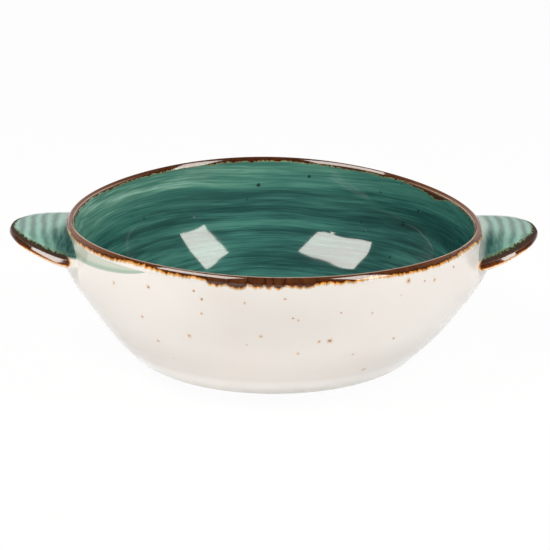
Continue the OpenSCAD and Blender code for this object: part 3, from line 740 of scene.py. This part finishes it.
def lugGlazed(name, ior):  # teal glaze brushed across the lug in arcs, with a wiped iron-brown edge
    material, tree, shader = startMaterial(name, stripes["gloss"], ior)
    coords = addNode(tree, "ShaderNodeTexCoord").outputs["Object"]
    stripe = field(tree, "stripe")
    share = field(tree, "edgeShare")
    pool = field(tree, "pool")
    thin = field(tree, "thin")
    front = field(tree, "front")
    root = field(tree, "root")
    sway = addNode(tree, "ShaderNodeTexNoise", {"Vector": coords, "Detail": 2,
                   "Scale": 1 / (stripes["swingSize"] * mm)})
    swing = addNode(tree, "ShaderNodeMapRange", {"Value": sway.outputs["Fac"],
                    "To Min": -stripes["swing"], "To Max": stripes["swing"]})
    wavy = addNode(tree, "ShaderNodeMath", {0: stripe, 1: swing.outputs[0]}, operation="ADD")
    angle = addNode(tree, "ShaderNodeMath", {0: wavy.outputs[0], 1: 2 * math.pi / stripes["period"]},
                    operation="MULTIPLY")
    wave = addNode(tree, "ShaderNodeMath", {0: angle.outputs[0]}, operation="COSINE")
    brushed = addNode(tree, "ShaderNodeVectorMath", {0: coords, 1: stripes["drawn"]},
                      operation="MULTIPLY")
    grain = addNode(tree, "ShaderNodeTexNoise", {"Vector": brushed.outputs[0], "Detail": 3,
                    "Scale": 1 / (stripes["grainSize"] * mm)})
    wave = addNode(tree, "ShaderNodeMath", {0: grain.outputs["Fac"], 1: stripes["grain"],
                   2: wave.outputs[0]}, operation="MULTIPLY_ADD")
    colour = addNode(tree, "ShaderNodeMapRange", {"Value": wave.outputs[0], "From Min": -0.2,
                     "From Max": 1.7})
    colour = addNode(tree, "ShaderNodeMixRGB", {"Fac": colour.outputs[0],
                     "Color1": linear(stripes["mint"]), "Color2": linear(stripes["grey"])})
    near = addNode(tree, "ShaderNodeMapRange", {"Value": front, "From Min": 0.72, "From Max": 1,
                   "To Max": 0.6})
    colour = addNode(tree, "ShaderNodeMixRGB", {"Fac": near.outputs[0], "Color1": colour.outputs[0],
                     "Color2": linear(stripes["teal"])})
    streak = addNode(tree, "ShaderNodeMapRange", {"Value": grain.outputs["Fac"], "From Min": 0.3,
                     "From Max": 0.7, "To Min": 0.7, "To Max": 1})
    pool = addNode(tree, "ShaderNodeMath", {0: pool, 1: streak.outputs[0]}, operation="MULTIPLY")
    colour = addNode(tree, "ShaderNodeMixRGB", {"Fac": pool.outputs[0], "Color1": colour.outputs[0],
                     "Color2": linear(stripes["pool"])})
    colour = addNode(tree, "ShaderNodeMixRGB", {"Fac": thin, "Color1": colour.outputs[0],
                     "Color2": linear(stripes["pale"])})
    ragged = addNode(tree, "ShaderNodeTexNoise", {"Vector": coords, "Detail": 4,
                     "Scale": 1 / (stripes["raggedSize"] * mm)})
    rough = addNode(tree, "ShaderNodeMath", {0: ragged.outputs["Fac"], 1: stripes["ragged"],
                    2: share}, operation="MULTIPLY_ADD")
    border = addNode(tree, "ShaderNodeMapRange", {"Value": rough.outputs[0], "From Min": 0.87,
                     "From Max": 1.12})
    ramp = addNode(tree, "ShaderNodeValToRGB", {"Fac": border.outputs[0]}, stops=[
        (0.2, "#5c8a6a", 0), (0.28, "#5e6a30", 0.7), (0.34, "#28220c", 1), (0.48, "#2e1705", 1),
        (0.68, "#55290f", 1), (1, "#6a3a1c", 1)])
    dryEnd = field(tree, "dryEnd")
    dryFrom = addNode(tree, "ShaderNodeMapRange", {"Value": border.outputs[0], "From Min": 0.14,
                      "From Max": 0.22})
    past = addNode(tree, "ShaderNodeMath", {0: share, 1: dryEnd}, operation="SUBTRACT")
    dryTo = addNode(tree, "ShaderNodeMapRange", {"Value": past.outputs[0],
                    "From Max": stripes["dryRun"], "To Min": 1, "To Max": 0})
    dry = addNode(tree, "ShaderNodeMath", {0: dryFrom.outputs[0], 1: dryTo.outputs[0]},
                  operation="MULTIPLY")
    rougher = addNode(tree, "ShaderNodeMapRange", {"Value": dry.outputs[0],
                      "To Min": stripes["gloss"], "To Max": 1})  # a dry strip inside the fringe
    tree.links.new(rougher.outputs[0], shader.inputs["Roughness"])
    away = addNode(tree, "ShaderNodeMapRange", {"Value": root, "From Min": 0.3, "From Max": 0.7,
                   "To Min": 1, "To Max": 0})
    fringe = addNode(tree, "ShaderNodeMath", {0: ramp.outputs["Alpha"], 1: away.outputs[0]},
                     operation="MULTIPLY")
    colour = addNode(tree, "ShaderNodeMixRGB", {"Fac": fringe.outputs[0], "Color1": colour.outputs[0],
                     "Color2": ramp.outputs["Color"]})
    under = field(tree, "under")
    under = addNode(tree, "ShaderNodeMath", {0: ragged.outputs["Fac"], 1: 0.3, 2: under},
                    operation="MULTIPLY_ADD")
    lower = addNode(tree, "ShaderNodeValToRGB", {"Fac": under.outputs[0]}, stops=[
        (0.5, "#6a3a1c", 0), (0.6, "#7a3c10", 1), (0.7, "#c87a2e", 1), (0.82, "#efc48d", 1),
        (1, "#f3e9dc", 1)])
    colour = addNode(tree, "ShaderNodeMixRGB", {"Fac": lower.outputs["Alpha"],
                     "Color1": colour.outputs[0], "Color2": lower.outputs["Color"]})
    hem = field(tree, "hem")
    end = addNode(tree, "ShaderNodeValToRGB", {"Fac": root}, stops=[
        (0.1, "#7a3c10", 0), (0.35, "#c87a2e", 1), (0.55, "#efd2a8", 1), (0.8, stripes["drop"], 1)])
    white = addNode(tree, "ShaderNodeMath", {0: end.outputs["Alpha"], 1: hem}, operation="MULTIPLY")
    colour = addNode(tree, "ShaderNodeMixRGB", {"Fac": white.outputs[0], "Color1": colour.outputs[0],
                     "Color2": end.outputs["Color"]})
    tree.links.new(colour.outputs[0], shader.inputs["Base Color"])
    return material


def cutFlush(piece, cutter):  # takes off what lies inside the wall
    flush = piece.modifiers.new("flush", "BOOLEAN")
    flush.operation = "DIFFERENCE"
    flush.solver = "EXACT"
    flush.object = cutter
    bpy.context.view_layer.update()
    shown = piece.evaluated_get(bpy.context.evaluated_depsgraph_get())
    mesh = bpy.data.meshes.new_from_object(shown)
    piece.modifiers.clear()
    piece.data = mesh


cutterRows = np.vstack([outerRows[:-1], rimCoat[:wall["lipRows"] // 2 + 4]])
cutter = loftMesh("cutter", place(cutterRows, turns), [0, 0, footZ],
                  [0, 0, wall["rimHeight"] + wall["rimTilt"] + wall["rimDip"]])
lugMaterial = lugGlazed("brushed mint lug glaze", 1.55)
edgeMaterial = lugGlazed("wiped iron-brown lug glaze", 1.65)  # more iron, stronger shine
lugSkins = {"Lug": ("lug", "white_glazed_stoneware", whiteMaterial, 25),
            "LugGlaze": ("lug_glaze", "teal_glaze", lugMaterial, 50),
            "LugEdge": ("lug_edge", "iron_brown_glaze", edgeMaterial, 50)}
for side, lift in lugLift.items():
    direction = lugSides[side][0]
    for tail, (rows, firstPole, lastPole) in lugLofts.items():
        turnedRows = np.asarray(rows) * [direction, direction, 1] + [0, 0, lift]
        poles = [None if pole is None else [pole[0] * direction, 0, pole[2] + lift]
                 for pole in (firstPole, lastPole)]
        piece = loftMesh(side + tail, turnedRows, *poles, looped=firstPole is None)
        cutFlush(piece, cutter)
        node, slot, material, sharpAngle = lugSkins[tail]
        finishPiece(piece, side + "_" + node, material, lugFields, sharpAngle)
bpy.data.objects.remove(cutter)


# The stage: white paper, two softboxes and a fill, and the camera

stage = {"size": 40, "paper": "#f3f4f6", "show": 0.96}


def whitePaper():  # seamless paper: white to the lens and in mirrors, with a faint shadow
    material = bpy.data.materials.new("seamless white paper")
    material.use_nodes = True
    tree = material.node_tree
    tree.nodes.clear()
    paper = addNode(tree, "ShaderNodeBsdfDiffuse", {"Color": linear(stage["paper"])})
    glow = addNode(tree, "ShaderNodeEmission", {"Strength": 1})
    path = addNode(tree, "ShaderNodeLightPath")
    seen = addNode(tree, "ShaderNodeMath", {0: path.outputs["Is Camera Ray"],
                   1: path.outputs["Is Glossy Ray"]}, operation="MAXIMUM")
    seen = addNode(tree, "ShaderNodeMath", {0: seen.outputs[0],
                   1: path.outputs["Is Transmission Ray"]}, operation="MAXIMUM")
    share = addNode(tree, "ShaderNodeMapRange", {"Value": seen.outputs[0], "To Max": stage["show"]})
    mix = addNode(tree, "ShaderNodeMixShader", {0: share.outputs[0], 1: paper.outputs[0],
                  2: glow.outputs[0]})
    addNode(tree, "ShaderNodeOutputMaterial", {"Surface": mix.outputs[0]})
    return material


half = stage["size"] / 2
floorMesh = bpy.data.meshes.new("paperFloor")
floorMesh.from_pydata([(-half, -half, 0), (half, -half, 0), (half, half, 0), (-half, half, 0)], [],
                      [(0, 1, 2, 3)])
floorMesh.materials.append(whitePaper())
paperFloor = bpy.data.objects.new("paperFloor", floorMesh)
bpy.context.scene.collection.objects.link(paperFloor)

studio = {
    "aimHigh": 30, "wallLight": 0.5, "roomLight": 0.1,  # pale wall behind the bowl, dim room in front
    "glow": 11, "warm": "#fff9f2",  # radiance of the softboxes, so that they mirror pale on the teal
    "fill": {"place": (-0.25, -2.2, 0.5), "wide": 2.4, "high": 1.2, "glow": 1.25},  # not mirrored
    "right": {"place": (0.583, -0.279, 0.683), "wide": 0.29, "high": 0.45, "roll": -5},
    "left": {"place": (-0.458, -0.246, 0.769), "wide": 0.56, "high": 0.32, "roll": 14},
}
aim = Vector((0, 0, studio["aimHigh"] * mm))
world = bpy.data.worlds.new("studio")
bpy.context.scene.world = world
world.use_nodes = True
tree = world.node_tree
tree.nodes.clear()
towards = addNode(tree, "ShaderNodeSeparateXYZ",
                  {0: addNode(tree, "ShaderNodeTexCoord").outputs["Generated"]})
behind = addNode(tree, "ShaderNodeMapRange", {"Value": towards.outputs["Y"], "From Min": 0.2,
                 "From Max": 0.65}, interpolation_type="SMOOTHSTEP")
low = addNode(tree, "ShaderNodeMapRange", {"Value": towards.outputs["Z"], "From Min": 0.4,
              "From Max": 0.7, "To Min": 1, "To Max": 0}, interpolation_type="SMOOTHSTEP")
lit = addNode(tree, "ShaderNodeMath", {0: behind.outputs[0], 1: low.outputs[0]}, operation="MULTIPLY")
strength = addNode(tree, "ShaderNodeMapRange", {"Value": lit.outputs[0], "To Min": studio["roomLight"],
                   "To Max": studio["wallLight"]})
sky = addNode(tree, "ShaderNodeBackground", {"Color": linear("#ffffff"),
              "Strength": strength.outputs[0]})
addNode(tree, "ShaderNodeOutputWorld", {"Surface": sky.outputs[0]})

for side in ("left", "right", "fill"):
    box = studio[side]
    lamp = bpy.data.lights.new(side + "Softbox", "AREA")
    lamp.shape = "RECTANGLE"
    lamp.size, lamp.size_y = box["wide"], box["high"]
    lamp.color = linear(studio["warm"])[:3]
    lamp.energy = box.get("glow", studio["glow"]) * math.pi * box["wide"] * box["high"]
    softbox = bpy.data.objects.new(side + "Softbox", lamp)
    bpy.context.scene.collection.objects.link(softbox)
    softbox.location = box["place"]
    facing = (softbox.location - aim).to_track_quat("Z", "Y")
    rolled = Quaternion((0, 0, 1), math.radians(box.get("roll", 0)))
    softbox.rotation_euler = (facing @ rolled).to_euler()
    softbox.visible_glossy = side != "fill"

lens = {"away": 1000, "up": 18.95, "turn": 1.4, "focus": 2468, "frame": 550,
        "aimX": 274.3, "aimY": 280.7}
camera = bpy.data.cameras.new("camera")
camera.sensor_width = 36
camera.lens = lens["focus"] * camera.sensor_width / lens["frame"]
camera.shift_x = (lens["frame"] / 2 - lens["aimX"]) / lens["frame"]
camera.shift_y = (lens["aimY"] - lens["frame"] / 2) / lens["frame"]
cameraObject = bpy.data.objects.new("camera", camera)
bpy.context.scene.collection.objects.link(cameraObject)
up, turn = math.radians(lens["up"]), math.radians(lens["turn"])
back = Vector((-math.cos(up) * math.sin(turn), -math.cos(up) * math.cos(turn), math.sin(up)))
cameraObject.location = aim + back * lens["away"] * mm
cameraObject.rotation_euler = back.to_track_quat("Z", "Y").to_euler()
bpy.context.scene.camera = cameraObject
bpy.context.scene.view_settings.view_transform = "Standard"
print("stage, lights and camera set")
